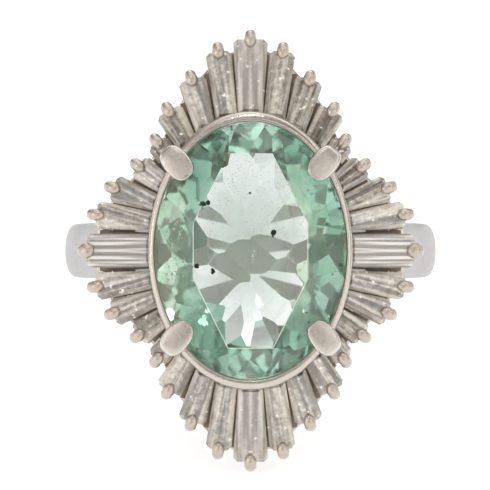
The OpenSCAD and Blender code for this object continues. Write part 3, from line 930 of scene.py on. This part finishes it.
def band():
    outer_r = FINGER_R + BAND_T
    low, top = round_point(outer_r, SHOULDER_ANGLE), Vector((SHOULDER_TOP_X, SHOULDER_TOP_Z))
    foot = round_point(FINGER_R, SHOULDER_FOOT_ANGLE)
    inner_top = Vector((SHOULDER_TOP_X - SHOULDER_T, SHOULDER_TOP_Z))
    half = []
    for k in range(SHOULDER_STEPS + 1):
        t = k / SHOULDER_STEPS
        outer = top.lerp(low, t)
        if t < SHOULDER_FOOT_SHARE:
            inner = inner_top.lerp(foot, t / SHOULDER_FOOT_SHARE)
        else:
            share = (t - SHOULDER_FOOT_SHARE) / (1 - SHOULDER_FOOT_SHARE)
            angle = SHOULDER_FOOT_ANGLE + (SHOULDER_ANGLE - SHOULDER_FOOT_ANGLE) * share
            inner = round_point(FINGER_R, angle)
        half.append(band_section(inner, outer, SHOULDER_W))
    for k in range(1, ARC_STEPS):
        angle = SHOULDER_ANGLE + (180 - SHOULDER_ANGLE) * k / ARC_STEPS
        height = (math.cos(math.radians(angle)) + 1) / (math.cos(math.radians(SHOULDER_ANGLE)) + 1)
        width = BASE_W + (SHOULDER_W - BASE_W) * height ** TAPER_POWER
        half.append(band_section(round_point(FINGER_R, angle), round_point(outer_r, angle), width))
    base = [band_section(round_point(FINGER_R, 180), round_point(outer_r, 180), BASE_W)]
    mirrored = [[Vector((-p.x, p.y, p.z)) for p in ring] for ring in reversed(half)]
    return finished(evaluated(softened(loft(half + base + mirrored))), "band", PLATINUM_BAND, sharp=48)


# Inside the centre stone

# Each speck's place in the picture, its width and its height in the stone
Speck = namedtuple("Speck", "px_x px_y width z")
SPECKS = [
    Speck(203.8, 204.2, 0.26, 1.0), Speck(208.2, 202.6, 0.22, 1.02), Speck(197.0, 266.0, 0.25, 0.9),
    Speck(213.0, 271.6, 0.24, 0.7), Speck(273.8, 232.8, 0.28, 1.0), Speck(250.0, 193.0, 0.12, 1.0),
    Speck(201.2, 205.4, 0.10, 1.0), Speck(273.0, 236.4, 0.10, 1.0), Speck(212.2, 269.0, 0.12, 0.7),
    Speck(329.0, 226.0, 0.08, 0.3), Speck(331.0, 274.0, 0.09, 0.2), Speck(305.0, 312.0, 0.10, 0.5),
    Speck(308.0, 322.0, 0.10, 0.45),
]


SPECK_ROUGH = (0.7, 1.35)
SPECK_FLAT = 0.5


def picture_to_ring(x, y):
    return Vector(((x - HEAD_PX[0]) * PIXEL, (HEAD_PX[1] - y) * PIXEL))


def specks():
    """Black inclusions where the picture shows them, each a small jagged lump."""
    chance = random.Random(7)
    work = bmesh.new()
    for speck in SPECKS:
        at = raised(picture_to_ring(speck.px_x, speck.px_y), speck.z)
        made = bmesh.ops.create_icosphere(work, subdivisions=2, radius=speck.width / 2)
        for vert in made["verts"]:
            vert.co = vert.co * chance.uniform(*SPECK_ROUGH)
            vert.co.z *= SPECK_FLAT
            vert.co += at
    mesh = bpy.data.meshes.new("specks")
    work.to_mesh(mesh)
    work.free()
    return finished(mesh, "black_specks", SPECK)


def dust():
    """Faint fine dust under the table."""
    mesh = run_tree(base_object([(0, 0, 0)]), SCATTER, {
        "Count": 260, "Low corner": (-2.4, -1.0, 0.3), "High corner": (2.4, 4.4, 1.1),
        "Smallest": 0.006, "Largest": 0.018, "Seed": 11, "Material": SPECK})
    return finished(mesh, "fine_dust", SPECK)


def flakes():
    """Pale yellow flakes of an old feather, low in the stone's left side, with a faint painted glow."""
    mesh = run_tree(base_object([(0, 0, 0)]), SCATTER, {
        "Count": 44, "Low corner": (-4.3, -1.6, -0.3), "High corner": (-3.2, 1.6, 0.25),
        "Smallest": 0.015, "Largest": 0.085, "Seed": 5, "Material": FLAKE})
    return finished(mesh, "pale_flakes", FLAKE)


def build_metal():
    pieces = [rim(), oval_wall(), bead_prongs(), bead_heads(), fins(), skirt_frame()]
    pieces += [*claws(), saddle(), struts(), band()]
    for piece in pieces:
        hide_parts("mount")


def dress_stones():
    """The four straight baguettes at the head's ends are clearer than the rest."""
    straight = {1: DIAMOND_PALE, 9: DIAMOND_CLEAR, 17: DIAMOND_PALE, 25: DIAMOND_CLEAR}
    for name, solid in frame["nodes"].items():
        if name == "centre_stone":
            coat = BERYL
        elif name.startswith("baguette"):
            coat = straight.get(int(name[-2:]), DIAMOND_CLOUDY)
        else:
            continue
        if solid.material_slots:
            for slot in solid.material_slots:
                slot.material = coat
        else:
            solid.data.materials.append(coat)


# Floor, light and camera

FLOOR_HALF_M = 3.0


def floor():
    mesh = bpy.data.meshes.new("floor")
    corners = [(x * FLOOR_HALF_M, y * FLOOR_HALF_M, 0) for x, y in ((-1, -1), (1, -1), (1, 1), (-1, 1))]
    mesh.from_pydata(corners, [], [(0, 1, 2, 3)])
    mesh.materials.append(floor_paper())
    plane = bpy.data.objects.new("floor", mesh)
    bpy.context.scene.collection.objects.link(plane)


SHADED_PANEL = (0.27, 0.25, 0.23, 1)
MIDDLE_PANEL = (0.68, 0.67, 0.66, 1)
BRIGHT_PANEL = (1.5, 1.5, 1.5, 1)
MIDDLE_PLACE = 0.35


def surround():
    """A white tent of light panels, some bright and some shaded, and plain white behind the ring."""
    world = bpy.data.worlds.new("light_tent")
    world.use_nodes = True
    tree = world.node_tree
    tree.nodes.clear()
    way = add(tree, "ShaderNodeTexCoord")
    panels = add(tree, "ShaderNodeTexVoronoi", {"Vector": way.outputs["Generated"], "Scale": 2.6})
    level = add(tree, "ShaderNodeSeparateColor", {"Color": panels.outputs["Color"]})
    ramp = add(tree, "ShaderNodeValToRGB", {"Fac": level.outputs[0]})
    stops = ramp.color_ramp.elements
    stops[0].position = 0.0
    stops[0].color = SHADED_PANEL
    stops[1].position = 1.0
    stops[1].color = BRIGHT_PANEL
    middle = stops.new(MIDDLE_PLACE)
    middle.color = MIDDLE_PANEL
    tent = add(tree, "ShaderNodeBackground", {"Color": ramp.outputs[0], "Strength": 1.0})
    plain = add(tree, "ShaderNodeBackground", {"Color": linear("#F6F6F6"), "Strength": 1.0})
    path = add(tree, "ShaderNodeLightPath")
    both = add(tree, "ShaderNodeMixShader", {
        0: path.outputs["Is Camera Ray"], 1: tent.outputs[0], 2: plain.outputs[0]})
    add(tree, "ShaderNodeOutputWorld", {"Surface": both.outputs[0]})
    bpy.context.scene.world = world


# Small soft lamps: degrees to the right of the table's normal and up from it, and the power
LAMPS = {
    "lamp_top_left": (-5, 48, 0.02),
    "lamp_top_right": (5, 48, 0.02),
    "lamp_bottom_left": (-12, -45, 0.009),
    "lamp_bottom_right": (-3, -45, 0.009),
    "lamp_left_high": (-50, 10, 0.014),
    "lamp_left_low": (-50, -2, 0.014),
}
LAMP_AWAY = 300
LAMP_SIZE = 14


def lamp(name, right, up, power):
    """A lamp above the table, aimed at the head."""
    light = bpy.data.lights.new(name, "AREA")
    light.shape = "DISK"
    light.size = LAMP_SIZE / 1000
    light.energy = power
    light.color = linear("#FFFDFA")[:3]
    way = Vector((math.tan(math.radians(right)), math.tan(math.radians(up)), 1)).normalized()
    at = RING @ (way * LAMP_AWAY)
    obj = bpy.data.objects.new(name, light)
    aim = (girdle_middle - at).to_track_quat("-Z", "Y").to_matrix().to_4x4()
    obj.matrix_world = Matrix.Translation(at) @ aim
    obj.visible_camera = False
    bpy.context.scene.collection.objects.link(obj)


def camera():
    lens = bpy.data.cameras.new("camera")
    lens.sensor_width = SENSOR
    lens.lens = SENSOR * CAMERA_AWAY / (PICTURE * PIXEL)
    lens.clip_start = 0.01
    lens.clip_end = 20
    obj = bpy.data.objects.new("camera", lens)
    aim = picture_to_ring(PICTURE / 2, PICTURE / 2)
    place = RING @ raised(aim, CAMERA_AWAY)
    obj.matrix_world = Matrix.Translation(place) @ ring_turn
    bpy.context.scene.collection.objects.link(obj)
    bpy.context.scene.camera = obj


def look():
    scene = bpy.context.scene
    scene.view_settings.view_transform = "Standard"
    scene.cycles.max_bounces = 20
    scene.cycles.transmission_bounces = 16
    scene.cycles.glossy_bounces = 8
    scene.cycles.transparent_max_bounces = 8
    scene.cycles.use_denoising = True


build_metal()
dress_stones()
specks()
dust()
flakes()
floor()
surround()
for lamp_name, settings in LAMPS.items():
    lamp(lamp_name, *settings)
camera()
look()
